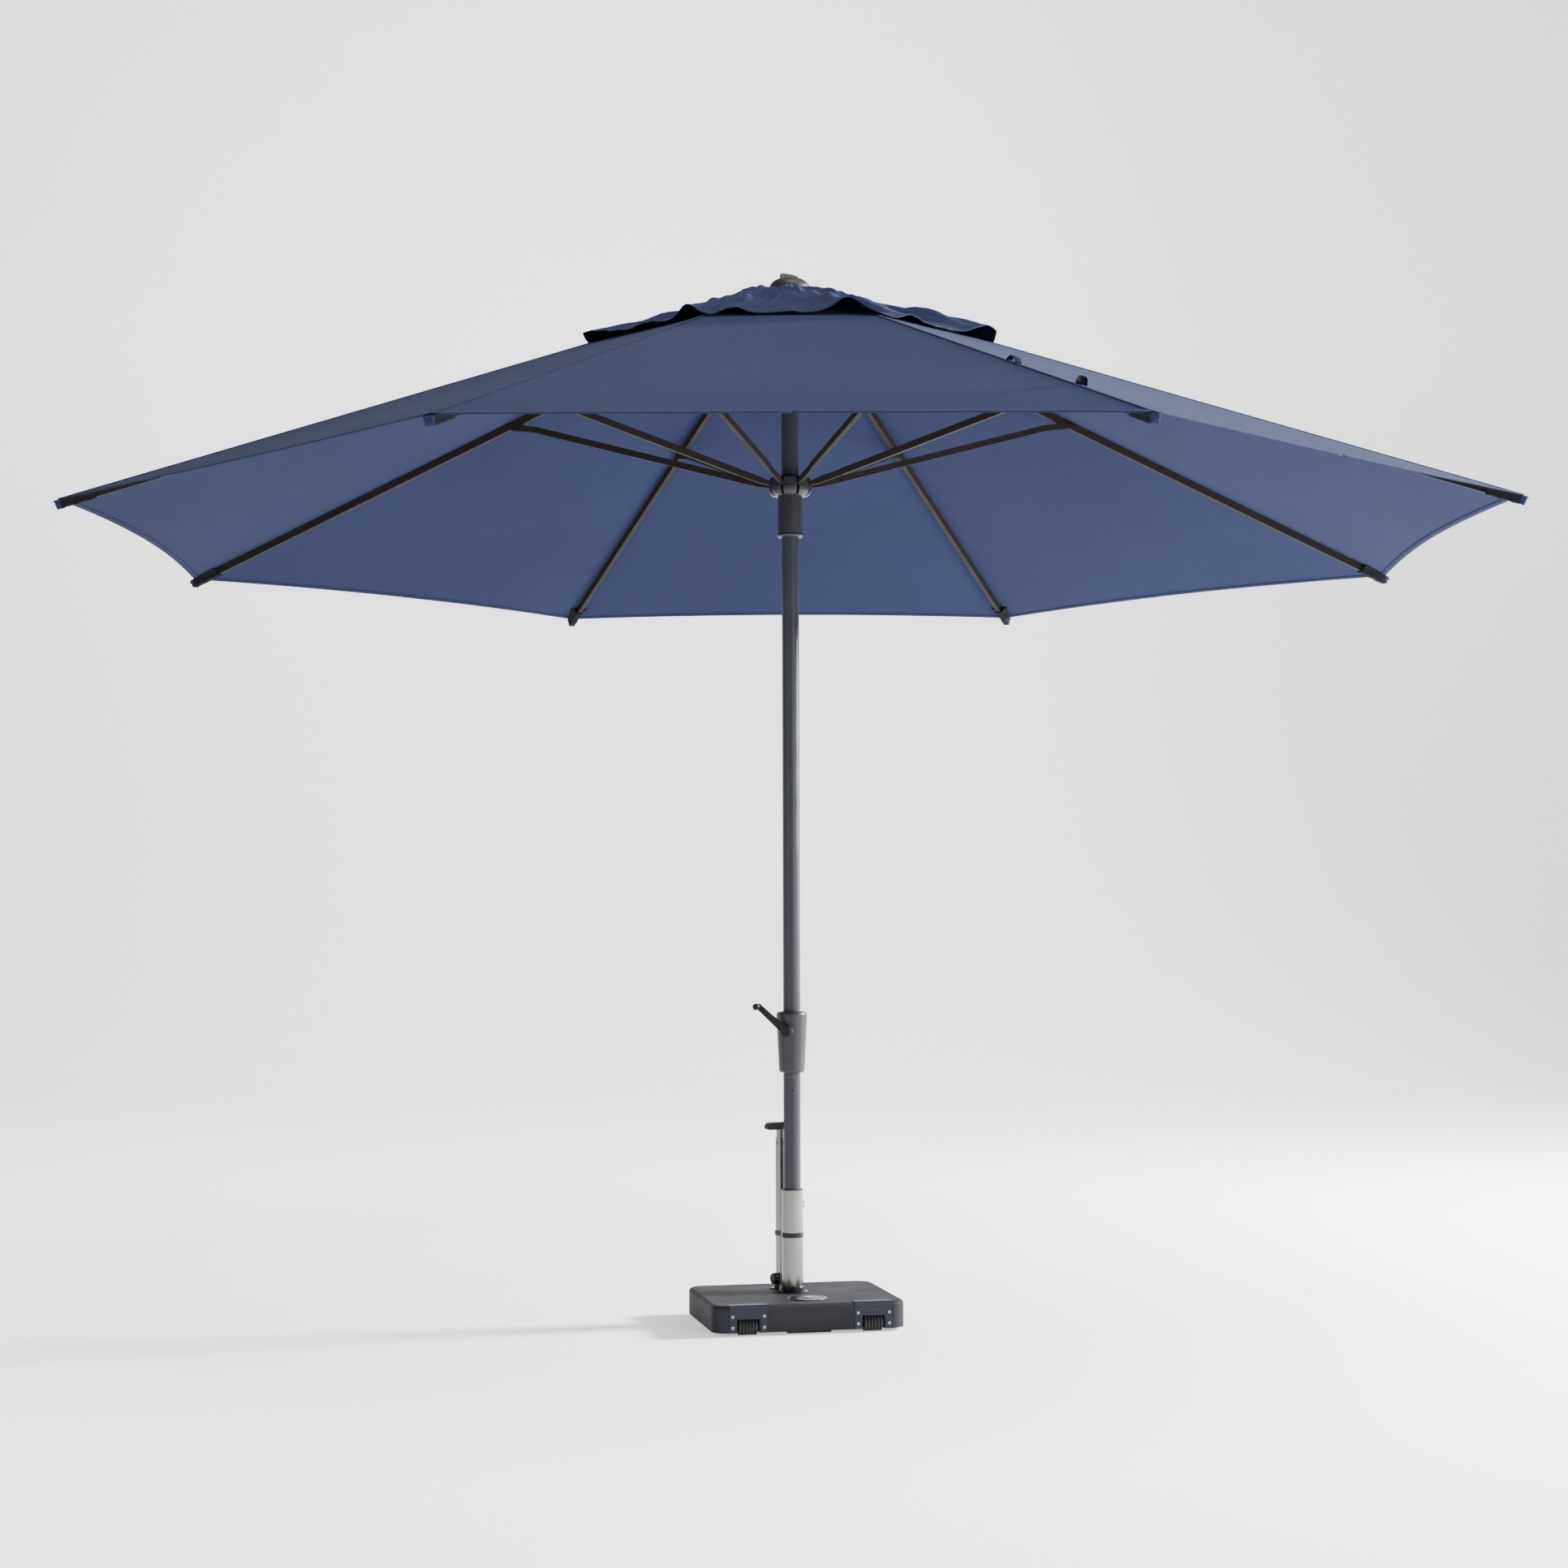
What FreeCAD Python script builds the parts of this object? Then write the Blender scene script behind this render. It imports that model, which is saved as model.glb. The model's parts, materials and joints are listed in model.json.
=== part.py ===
import FreeCAD, Part
import math
import os

# Patio umbrella with a crank, eight ribs and a weighted base on two rollers.
# Millimetres, +Z up, origin on the ground on the pole's axis, front towards -Y.

V = FreeCAD.Vector
X_AXIS = V(1, 0, 0)
Y_AXIS = V(0, 1, 0)
Z_AXIS = V(0, 0, 1)

# Canopy frame
RIBS = 8
FIRST_RIB_AZ = 22.5
RIB_STEP = 360.0 / RIBS
CANOPY_R = 2000.0
HUB_PIVOT_R = 50.0
HUB_PIVOT_Z = 2872.0
RIB_SLOPE = 20.07
PIN_ALONG_RIB = 900.0
RUNNER_PIVOT_R = 54.0
RUNNER_PIVOT_Z = 2330.0

RIB_W = 14.0
RIB_H = 20.0
RIB_WALL = 1.3
TONGUE_W = 7.0
RIB_TONGUE = 22.0
STRUT_H = 18.0
STRUT_WALL = 1.5
STRUT_TONGUE = 108.0
STRUT_TONGUE_TIP_R = 4.5
FORK_LENGTH = 90.0
FORK_RISE = 10.0
FORK_PLATE = 3.0
FORK_GAP = 0.4

# Pole
POLE_R = 24.0
POLE_WALL = 1.5
POLE_FOOT_Z = 30.0
POLE_SEAM_Z = 672.0
POLE_TOP_Z = 2857.0
COUPLING_R = POLE_R - POLE_WALL - 0.1
BUTTON_AZ = -80.0
BUTTON_Z = 636.0
BUTTON_R = 2.9

# Pulley and domed cap on the hub
PULLEY_R = 11.0
PULLEY_Y = 25.0
PULLEY_Z = HUB_PIVOT_Z + 22.0
DOME_RIM_Z = 2886.0
DOME_TOP_Z = 2921.0
DOME_R = 57.5

# Crank
HOUSING_TOP_Z = 854.0
HOUSING_BOTTOM_Z = 685.0
HOUSING_TOP_R = 43.0
HOUSING_BOTTOM_R = 36.0
HOUSING_WALL = 3.0
SHAFT_AZ = -107.0
SHAFT_Z = 800.0
SHAFT_R = 5.0
DRUM_R = 11.0
ARM_LENGTH = 104.0
ARM_RISE = 41.0
CORD_R = 1.5

# Base, in its own frame before it is turned on the pole's axis
BASE_TURN = 12.0
BASE_W = 530.0
BASE_D = 430.0
BASE_FRONT = -240.0
BASE_BACK = BASE_FRONT + BASE_D
BASE_BOTTOM_Z = 8.0
BASE_TOP_Z = 80.0
BASE_CORNER_R = 45.0
BASE_EDGE_R = 11.0
SHELL_WALL = 4.0
ROLLER_X = 172.0
ROLLER_Y = -220.0
ROLLER_R = 24.0
ROLLER_W = 52.0
AXLE_R = 4.0
PLATE_W = 104.0
SCREW_X = 43.0
SCREW_Z = (23.0, 52.0)
TUBE_R = 30.25
TUBE_WALL = 1.5
TUBE_FOOT_Z = 20.0
TUBE_TOP_Z = 360.0
CLAMP_AZ = 60.0
CLAMP_Z = 318.0

# Telescopic handle beside the base tube
HANDLE_X = -30.0
HANDLE_Y = 46.0
HANDLE_AZ = math.degrees(math.atan2(HANDLE_Y, HANDLE_X))
HANDLE_PIVOT_Z = 112.0
HANDLE_W = 25.0
HANDLE_TOP_Z = 501.0
GRIP_BOTTOM_Z = 524.0
GRIP_TOP_Z = 545.0
BRACKET_BOLT_X = 27.0

# Cloth
CLOTH_T = 1.0
CLOTH_LIFT = 1.4
PANEL_GAP = 0.3
PANEL_INNER_R = 380.0
HEM_SAG = 40.0
FLAP_INNER_R = 63.0
FLAP_R = 612.0
FLAP_RISE = 8.0
FLAP_SAG = 6.0


def sind(a):
    return math.sin(math.radians(a))


def cosd(a):
    return math.cos(math.radians(a))


def tand(a):
    return math.tan(math.radians(a))


def box(x0, x1, y0, y1, z0, z1):
    return Part.makeBox(x1 - x0, y1 - y0, z1 - z0, V(x0, y0, z0))


def rod(radius, start, end):
    run = end - start
    return Part.makeCylinder(radius, run.Length, start, run)


def disc(radius, z0, z1, x=0.0, y=0.0):
    return Part.makeCylinder(radius, z1 - z0, V(x, y, z0))


def ring(outer, inner, z0, z1):
    return disc(outer, z0, z1).cut(disc(inner, z0 - 1, z1 + 1))


def revolved(outline, axis=Z_AXIS):
    """Turn a closed (radius, height) outline about the Z axis, then lay Z along axis."""
    wire = Part.makePolygon([V(r, 0, z) for r, z in outline + outline[:1]])
    solid = Part.Face(wire).revolve(V(0, 0, 0), Z_AXIS, 360)
    solid.Placement = FreeCAD.Placement(V(0, 0, 0), FreeCAD.Rotation(Z_AXIS, axis))
    return solid


def moved(shape, x=0.0, y=0.0, z=0.0):
    out = shape.copy()
    out.translate(V(x, y, z))
    return out


def turned(shape, angle, axis=Z_AXIS, at=V(0, 0, 0)):
    out = shape.copy()
    out.rotate(at, axis, angle)
    return out


def fused(*shapes):
    return shapes[0].multiFuse(list(shapes[1:])).removeSplitter()


def save(name, *shapes):
    solids = [s for shape in shapes for s in shape.Solids]
    Part.makeCompound(solids).exportStep("parts/" + name + ".step")
    print(name, len(solids), "solids", round(sum(s.Volume for s in solids) / 1000.0, 1), "cm3")


def rib_azimuths():
    return [FIRST_RIB_AZ + RIB_STEP * k for k in range(RIBS)]


# ---------------------------------------------------------------- canopy frame

STRUT_DX = HUB_PIVOT_R + PIN_ALONG_RIB * cosd(RIB_SLOPE) - RUNNER_PIVOT_R
STRUT_DZ = HUB_PIVOT_Z - PIN_ALONG_RIB * sind(RIB_SLOPE) - RUNNER_PIVOT_Z
STRUT_L = math.hypot(STRUT_DX, STRUT_DZ)
STRUT_SLOPE = math.degrees(math.atan2(STRUT_DZ, STRUT_DX))
RIB_L = (CANOPY_R - HUB_PIVOT_R) / cosd(RIB_SLOPE)


def rib_place(shape, azimuth):
    """From the rib's own frame, X along it and Z its top, to the open umbrella."""
    down = turned(shape, RIB_SLOPE, Y_AXIS)
    return turned(moved(down, HUB_PIVOT_R, 0, HUB_PIVOT_Z), azimuth)


def strut_place(shape, azimuth):
    up = turned(shape, -STRUT_SLOPE, Y_AXIS)
    return turned(moved(up, RUNNER_PIVOT_R, 0, RUNNER_PIVOT_Z), azimuth)


def cross_rod(radius, half, x, z=0.0):
    return rod(radius, V(x, -half, z), V(x, half, z))


def rib_parts():
    """Box-section rib, its moulded hub tongue, the strut pin and the tip cap."""
    inner_w = RIB_W / 2 - RIB_WALL
    inner_h = RIB_H / 2 - RIB_WALL
    tube = box(RIB_TONGUE, RIB_L, -RIB_W / 2, RIB_W / 2, -RIB_H / 2, RIB_H / 2)
    tube = tube.cut(box(RIB_TONGUE - 1, RIB_L + 1, -inner_w, inner_w, -inner_h, inner_h))
    pin_r = 3.0
    pin_half = RIB_W / 2 + FORK_GAP + FORK_PLATE + 2.3
    tube = tube.cut(cross_rod(pin_r, RIB_W, PIN_ALONG_RIB))
    eye = fused(
        cross_rod(9.0, TONGUE_W / 2, 0),
        box(0, RIB_TONGUE, -TONGUE_W / 2, TONGUE_W / 2, -9, 9),
        box(RIB_TONGUE, RIB_TONGUE + 30, -inner_w, inner_w, -inner_h, inner_h),
    )
    eye = eye.cut(cross_rod(2.55, TONGUE_W, 0))
    pin = cross_rod(pin_r, pin_half, PIN_ALONG_RIB)
    for side in (-1, 1):
        head_y = side * (pin_half - 2)
        head = rod(5.5, V(PIN_ALONG_RIB, head_y, 0), V(PIN_ALONG_RIB, side * pin_half, 0))
        pin = pin.fuse(head)
    cap = fused(
        box(RIB_L, RIB_L + 6, -RIB_W / 2, RIB_W / 2, -RIB_H / 2, RIB_H / 2),
        box(RIB_L - 24, RIB_L, -inner_w, inner_w, -inner_h, inner_h),
    )
    tip_edges = [e for e in cap.Edges if e.BoundBox.XMin > RIB_L + 5.5]
    cap = cap.makeFillet(3.0, tip_edges)
    return [tube, eye, pin.removeSplitter(), cap]


def strut_parts():
    """Box-section strut with a flat tongue for the runner and a fork for the rib."""
    start = V(STRUT_TONGUE, 0, 0)
    end = V(STRUT_L - FORK_LENGTH, 0, FORK_RISE)
    length = (end - start).Length
    tilt = -math.degrees(math.atan2(FORK_RISE, end.x - start.x))
    half_w = RIB_W / 2
    half_h = STRUT_H / 2
    inner_w = half_w - STRUT_WALL
    inner_h = half_h - STRUT_WALL
    tube = box(0, length, -half_w, half_w, -half_h, half_h)
    tube = tube.cut(box(-1, length + 1, -inner_w, inner_w, -inner_h, inner_h))
    plug = box(0, 30, -inner_w, inner_w, -inner_h, inner_h)
    tube = moved(turned(tube, tilt, Y_AXIS), start.x)
    plug = moved(turned(plug, tilt, Y_AXIS), start.x)
    flat = [(0, STRUT_TONGUE_TIP_R), (40, half_h), (STRUT_TONGUE, half_h)]
    flat = flat + [(x, -z) for x, z in reversed(flat)]
    wire = Part.makePolygon([V(x, -TONGUE_W / 2, z) for x, z in flat + flat[:1]])
    tongue = Part.Face(wire).extrude(V(0, TONGUE_W, 0))
    tongue = fused(tongue, cross_rod(STRUT_TONGUE_TIP_R, TONGUE_W / 2, 0), plug)
    tongue = tongue.cut(tube)

    plate_in = half_w + FORK_GAP
    plate_out = plate_in + FORK_PLATE
    back = STRUT_L - FORK_LENGTH - 36
    low = FORK_RISE - half_h
    high = low + STRUT_H
    eye_r = 9.0
    cheek = [(back, low + 1.5), (STRUT_L - FORK_LENGTH + 20, low), (STRUT_L, -eye_r),
             (STRUT_L, eye_r), (STRUT_L - FORK_LENGTH, high), (back, high - 1.5)]
    wire = Part.makePolygon([V(x, -plate_out, z) for x, z in cheek + cheek[:1]])
    fork = Part.Face(wire).extrude(V(0, 2 * plate_out, 0))
    fork = fused(fork, cross_rod(eye_r, plate_out, STRUT_L))
    fork = fork.cut(box(STRUT_L - FORK_LENGTH + 2, STRUT_L + 20, -plate_in, plate_in, -40, 20))
    fork = fork.cut(cross_rod(3.05, plate_out + 1, STRUT_L))
    fork = fork.cut(tube.fuse(moved(turned(box(0, length, -inner_w, inner_w, -inner_h, inner_h),
                                           tilt, Y_AXIS), start.x)))
    fork = max(fork.Solids, key=lambda s: s.Volume)
    return [tube, tongue, fork]


def hub_slots(inner, width, z0, z1):
    return [turned(box(inner, 90, -width / 2, width / 2, z0, z1), a) for a in rib_azimuths()]


def make_hub():
    """Hub with eight slots, a spigot in the pole, and two posts that carry the pulley."""
    z0 = HUB_PIVOT_Z - 18
    z1 = HUB_PIVOT_Z + 13
    hub = revolved([(0, POLE_TOP_Z), (POLE_R, POLE_TOP_Z), (POLE_R, z0), (54, z0), (57, z0 + 3),
                    (57, z1 - 3), (54, z1), (0, z1)])
    for slot in hub_slots(39, TONGUE_W + 1, z0 - 1, z1 + 1):
        hub = hub.cut(slot)
    pins = []
    for azimuth in rib_azimuths():
        pin = moved(rod(2.5, V(0, -11, 0), V(0, 11, 0)), HUB_PIVOT_R, 0, HUB_PIVOT_Z)
        pin = turned(pin, azimuth)
        hub = hub.cut(pin)
        pins.append(pin)
    bay_y = PULLEY_R + 4
    pulley_bay = box(-5, 5, PULLEY_Y - bay_y, PULLEY_Y + bay_y, POLE_TOP_Z - 1, z1 + 1)
    cord_way = disc(CORD_R + 1.2, z0 - 1, z1 + 1, 0, PULLEY_Y + PULLEY_R)
    hub = hub.cut(pulley_bay).cut(cord_way)
    posts = [box(x, x + 3, PULLEY_Y - 7, PULLEY_Y + 7, z1, PULLEY_Z + 8) for x in (-8, 5)]
    axle = rod(3.0, V(-9, PULLEY_Y, PULLEY_Z), V(9, PULLEY_Y, PULLEY_Z))
    hub = fused(hub, *posts).cut(axle)
    pins.append(axle)
    return hub, pins


def make_pulley():
    rim = PULLEY_R + 2
    groove = PULLEY_R - CORD_R
    wheel = revolved([(3.05, -4), (rim, -4), (groove, -1.5), (groove, 1.5), (rim, 4), (3.05, 4)], X_AXIS)
    return moved(wheel, 0, PULLEY_Y, PULLEY_Z)


def make_finial():
    """Domed cap with a blind wing on top, as a group of two solids."""
    brim = 6.0
    height = DOME_TOP_Z - DOME_RIM_Z - brim
    steps = 10
    angles = [math.pi / 2 * i / steps for i in range(steps + 1)]
    outer = [(DOME_R * math.sin(t) ** 0.8, DOME_RIM_Z + brim + height * math.cos(t)) for t in angles]
    wall = 2.5
    inner = [(max(r - wall, 0), z - wall) for r, z in reversed(outer)]
    inner[0] = (DOME_R - wall, DOME_RIM_Z + brim)
    dome = revolved(outer + [(DOME_R, DOME_RIM_Z), (DOME_R - wall, DOME_RIM_Z)] + inner)
    wing_pts = [(-27, -8), (-28, 9), (-24, 14), (-16, 14.5), (10, 10.5), (25, 4), (27, -8)]
    wire = Part.makePolygon([V(x, -4, DOME_TOP_Z + z) for x, z in wing_pts + wing_pts[:1]])
    wing = Part.Face(wire).extrude(V(0, 8, 0))
    upper = [e for e in wing.Edges if e.BoundBox.ZMin > DOME_TOP_Z + 3]
    wing = wing.makeFillet(1.8, upper).cut(dome)
    wing = max(wing.Solids, key=lambda s: s.BoundBox.ZMax)
    return [dome, wing]


def make_runner():
    top = RUNNER_PIVOT_Z + 20
    band = RUNNER_PIVOT_Z - 6
    under = RUNNER_PIVOT_Z - 31
    foot = RUNNER_PIVOT_Z - 147
    bore = POLE_R + 0.5
    flange_r = 59.5
    neck_r = 34.5
    curve = [(flange_r - 13 * (1 - cosd(a)), band - 4 - 21 * sind(a)) for a in (0, 22, 45, 67, 90)]
    outline = [(bore, foot + 3), (bore + 2, foot), (neck_r - 1, foot), (neck_r + 1.5, foot + 4),
               (neck_r + 1.5, foot + 7), (neck_r, foot + 10), (neck_r, under)]
    outline += list(reversed(curve))
    outline += [(flange_r, band), (flange_r - 1, band + 1), (flange_r - 1, top - 3),
                (flange_r - 4, top), (neck_r, top), (neck_r, top + 3), (bore, top + 3)]
    runner = revolved(outline)
    for slot in hub_slots(43.5, TONGUE_W + 1, under - 8, top + 1):
        runner = runner.cut(slot)
    cord_hole = disc(CORD_R, RUNNER_PIVOT_Z - 10, top + 4, 0, PULLEY_Y + PULLEY_R)
    runner = runner.cut(cord_hole)
    pins = []
    for azimuth in rib_azimuths():
        for side in (-1, 1):
            near = side * (TONGUE_W + 1) / 2
            stub = rod(2.5, V(0, near, 0), V(0, side * 11, 0))
            stub = turned(moved(stub, RUNNER_PIVOT_R, 0, RUNNER_PIVOT_Z), azimuth)
            runner = runner.cut(stub)
            pins.append(stub)
    return runner, pins


# ---------------------------------------------------------------- pole and crank

def radial(shape, azimuth, z):
    """From a frame with +X outwards to a place on the pole at this azimuth and height."""
    return turned(moved(shape, 0, 0, z), azimuth)


def along_x(radius, x0, x1):
    return rod(radius, V(x0, 0, 0), V(x1, 0, 0))


def make_pole():
    inner = POLE_R - POLE_WALL
    lower = ring(POLE_R, inner, POLE_FOOT_Z, POLE_SEAM_Z)
    upper = ring(POLE_R, inner, POLE_SEAM_Z + 0.6, POLE_TOP_Z)
    coupling = ring(COUPLING_R, COUPLING_R - 1.5, 560, 740)
    button_hole = radial(along_x(BUTTON_R + 0.1, 10, 30), BUTTON_AZ, BUTTON_Z)
    lower = lower.cut(button_hole)
    coupling = coupling.cut(button_hole)
    upper = upper.cut(radial(along_x(16.0, 0, 30), SHAFT_AZ, SHAFT_Z))
    upper = upper.cut(radial(along_x(SHAFT_R + 0.3, -30, 0), SHAFT_AZ, SHAFT_Z))
    upper = upper.cut(disc(PULLEY_R + 4, POLE_TOP_Z - 2, POLE_TOP_Z + 1, 0, PULLEY_Y - 12))
    button = fused(along_x(BUTTON_R, 17, 25.2), along_x(5.0, 17, 19.5))
    button = button.makeFillet(1.0, [e for e in button.Edges if e.BoundBox.XMin > 25])
    return lower, upper, coupling, radial(button, BUTTON_AZ, BUTTON_Z)


def make_housing():
    mid_r = (HOUSING_TOP_R + HOUSING_BOTTOM_R) / 2
    z0 = HOUSING_BOTTOM_Z
    z1 = HOUSING_TOP_Z
    outer = [(0, z0), (HOUSING_BOTTOM_R - 6, z0), (HOUSING_BOTTOM_R - 2, z0 + 1.5),
             (HOUSING_BOTTOM_R, z0 + 6), (mid_r, (z0 + z1) / 2), (HOUSING_TOP_R, z1 - 8),
             (HOUSING_TOP_R - 2, z1 - 3), (HOUSING_TOP_R - 7, z1), (0, z1)]
    w = HOUSING_WALL
    cavity = [(0, z0 + w), (HOUSING_BOTTOM_R - w - 1, z0 + w), (mid_r - w, (z0 + z1) / 2),
              (HOUSING_TOP_R - w, z1 - 9), (HOUSING_TOP_R - w - 4, z1 - w), (0, z1 - w)]
    body = revolved(outer)
    boss = radial(along_x(16, 30, 47), SHAFT_AZ, SHAFT_Z)
    rear_boss = radial(along_x(11, -44, -30), SHAFT_AZ, SHAFT_Z)
    body = fused(body, boss, rear_boss).cut(revolved(cavity))
    body = body.cut(disc(POLE_R, z0 - 5, z1 + 5))
    body = body.cut(radial(along_x(SHAFT_R + 0.05, -60, 60), SHAFT_AZ, SHAFT_Z))
    front_half = turned(box(0.15, 90, -90, 90, z0 - 5, z1 + 5), SHAFT_AZ)
    rear_half = turned(box(-90, -0.15, -90, 90, z0 - 5, z1 + 5), SHAFT_AZ)
    return body.common(front_half), body.common(rear_half)


def make_crank():
    drum = fused(
        along_x(SHAFT_R, -46, 58),
        along_x(DRUM_R, -12, 12),
        along_x(15, -14, -12),
        along_x(15, 12, 14),
    )
    spool = radial(drum, SHAFT_AZ, SHAFT_Z)

    turns = 4
    pitch = 2.3
    coils = [(6.2, 0), (6.2, turns * pitch)]
    for i in reversed(range(turns)):
        coils += [(7.6, (i + 1) * pitch - 0.2), (8.3, (i + 0.5) * pitch), (7.6, i * pitch + 0.2)]
    coils = turned(revolved(coils), 90, Y_AXIS)
    leg = box(0.4, 2.2, -1, 1, 7.0, 12.5)
    spring = radial(moved(fused(coils, leg), 25.6), SHAFT_AZ, SHAFT_Z)

    out0 = 48.0
    hub = fused(along_x(14, out0, out0 + 13), along_x(9, out0 + 13, out0 + 15))
    hub = hub.cut(along_x(SHAFT_R, out0 - 1, 58))
    blade = [(0, -11), (0, 11), (ARM_LENGTH, 8), (ARM_LENGTH, -8)]
    wire = Part.makePolygon([V(0, -x, y) for x, y in blade + blade[:1]])
    arm = Part.Face(wire).extrude(V(8, 0, 0))
    arm = arm.makeFillet(1.5, [e for e in arm.Edges if e.Length > ARM_LENGTH - 10])
    end = moved(along_x(9, out0 + 4, out0 + 13), 0, -ARM_LENGTH)
    arm = fused(moved(arm, out0 + 4), end).cut(along_x(13, out0, out0 + 20))
    arm = fused(arm, hub)
    arm = arm.cut(moved(along_x(3.05, out0, out0 + 20), 0, -ARM_LENGTH))
    knob_outline = [(0, out0 + 13.5), (7, out0 + 13.5), (8.5, out0 + 17), (7.5, out0 + 26),
                    (9.5, out0 + 36), (8.5, out0 + 39), (6, out0 + 40.5), (0, out0 + 40.5)]
    knob = revolved(knob_outline)
    knob.rotate(V(0, 0, 0), Y_AXIS, 90)
    knob = fused(moved(knob, 0, -ARM_LENGTH), moved(along_x(3.0, out0 + 5, out0 + 14), 0, -ARM_LENGTH))
    arm = turned(arm, -ARM_RISE, X_AXIS)
    knob = turned(knob, -ARM_RISE, X_AXIS)
    return spool, spring, radial(arm, SHAFT_AZ, SHAFT_Z), radial(knob, SHAFT_AZ, SHAFT_Z)


def make_cords():
    """Inner fall from the drum to the pulley, and outer fall behind the pole to the runner."""
    side = SHAFT_AZ + 90
    drum_side = V((DRUM_R + CORD_R) * cosd(side), (DRUM_R + CORD_R) * sind(side), SHAFT_Z)
    inner_fall = rod(CORD_R, drum_side, V(0, PULLEY_Y - PULLEY_R, PULLEY_Z))
    outer_y = PULLEY_Y + PULLEY_R
    outer_fall = rod(CORD_R, V(0, outer_y, RUNNER_PIVOT_Z - 10), V(0, outer_y, PULLEY_Z))
    over = Part.makeTorus(PULLEY_R, CORD_R, V(0, PULLEY_Y, PULLEY_Z), X_AXIS)
    over = over.common(box(-9, 9, -30, 60, PULLEY_Z, PULLEY_Z + 30))
    return [inner_fall, over], [outer_fall]


# ---------------------------------------------------------------- base

def base_place(shape):
    return turned(shape, BASE_TURN)


def slab(inset):
    """Rounded slab, shrunk on every side by inset."""
    body = box(-BASE_W / 2 + inset, BASE_W / 2 - inset, BASE_FRONT + inset, BASE_BACK - inset,
               BASE_BOTTOM_Z + inset, BASE_TOP_Z - inset)
    upright = [e for e in body.Edges if abs(e.tangentAt(0).z) > 0.9]
    body = body.makeFillet(BASE_CORNER_R - inset, upright)
    top = [e for e in body.Edges if e.BoundBox.ZMin > BASE_TOP_Z - inset - 0.1]
    return body.makeFillet(max(BASE_EDGE_R - inset, 2.0), top)


def roller_sides():
    return (-ROLLER_X, ROLLER_X)


def pocket(x, grow):
    return box(x - 30 - grow, x + 30 + grow, BASE_FRONT - 9, ROLLER_Y + 27 + grow, -5, 52 + grow)


def plate_outline(outer, top, drop, back):
    """Side view of a cover plate: down the front face and back over the top edge."""
    radius = BASE_EDGE_R + 2
    bend = [(outer + radius - radius * cosd(a), top - radius + radius * sind(a)) for a in range(0, 91, 15)]
    return [(outer, drop)] + bend + [(back, top)]


def wheel_plate(x, thick, grow):
    front = BASE_FRONT - 1.5
    top = BASE_TOP_Z + 1.5
    back = BASE_FRONT + 24 + grow
    drop = BASE_BOTTOM_Z + 1 - grow
    outer = plate_outline(front, top, drop, back)
    radius = BASE_EDGE_R + 2 - thick
    inner_front = front + thick
    inner_top = top - thick
    bend = [(inner_front + radius - radius * cosd(a), inner_top - radius + radius * sind(a))
            for a in range(90, -1, -15)]
    outline = outer + [(back, inner_top)] + bend + [(inner_front, drop)]
    half = PLATE_W / 2 + grow
    wire = Part.makePolygon([V(x - half, y, z) for y, z in outline + outline[:1]])
    return Part.Face(wire).extrude(V(2 * half, 0, 0))


def make_bracket_bolt():
    """Hexagon bolt that holds the handle's bracket to the base."""
    under_head = BASE_TOP_Z + 3 - HANDLE_PIVOT_Z
    hexagon = [V(6.2 * cosd(a), 6.2 * sind(a), under_head) for a in range(0, 361, 60)]
    head = Part.Face(Part.makePolygon(hexagon)).extrude(V(0, 0, 4))
    bolt = fused(head, disc(3.0, under_head - 22, under_head))
    return handle_place(moved(bolt, BRACKET_BOLT_X))


def make_base():
    outer = slab(0)
    inside = slab(SHELL_WALL)
    tube_hole = disc(TUBE_R, TUBE_FOOT_Z, BASE_TOP_Z + 30)
    core = inside
    shell = outer
    plates = []
    screws = []
    for x in roller_sides():
        core = core.cut(pocket(x, 3))
        core = core.cut(box(x - 58, x + 58, BASE_FRONT - 5, BASE_FRONT + 9, 0, 100))
        core = core.cut(box(x - 58, x + 58, BASE_FRONT - 5, BASE_FRONT + 28, BASE_TOP_Z - 8, 100))
        plate = wheel_plate(x, 3.0, 0)
        plate = plate.cut(box(x - 33, x + 33, BASE_FRONT - 9, BASE_FRONT + 9, 0, 44))
        for side in (-1, 1):
            for z in SCREW_Z:
                at = V(x + side * SCREW_X, BASE_FRONT, z)
                shank = rod(2.0, at + V(0, 4, 0), at + V(0, -1, 0))
                head = rod(4.0, at + V(0, -1.5, 0), at + V(0, -3.2, 0))
                socket = rod(1.7, at + V(0, -2.2, 0), at + V(0, -4, 0))
                screw = fused(shank, rod(2.0, at, at + V(0, -2, 0)), head).cut(socket)
                screws.append(screw)
                plate = plate.cut(screw)
        plates.append(plate)
    core = core.cut(tube_hole)
    shell = shell.cut(core)
    for x in roller_sides():
        shell = shell.cut(pocket(x, 0))
        shell = shell.cut(wheel_plate(x, 3.0, 0.8))
        shell = shell.cut(rod(AXLE_R, V(x - 33, ROLLER_Y, ROLLER_R), V(x + 33, ROLLER_Y, ROLLER_R)))
    for screw in screws:
        shell = shell.cut(screw)
    bolt = turned(make_bracket_bolt(), -BASE_TURN)
    shell = shell.cut(tube_hole).cut(bolt)
    core = core.cut(bolt)
    shell = max(shell.Solids, key=lambda s: s.Volume)
    return shell, core, plates, screws


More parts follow.
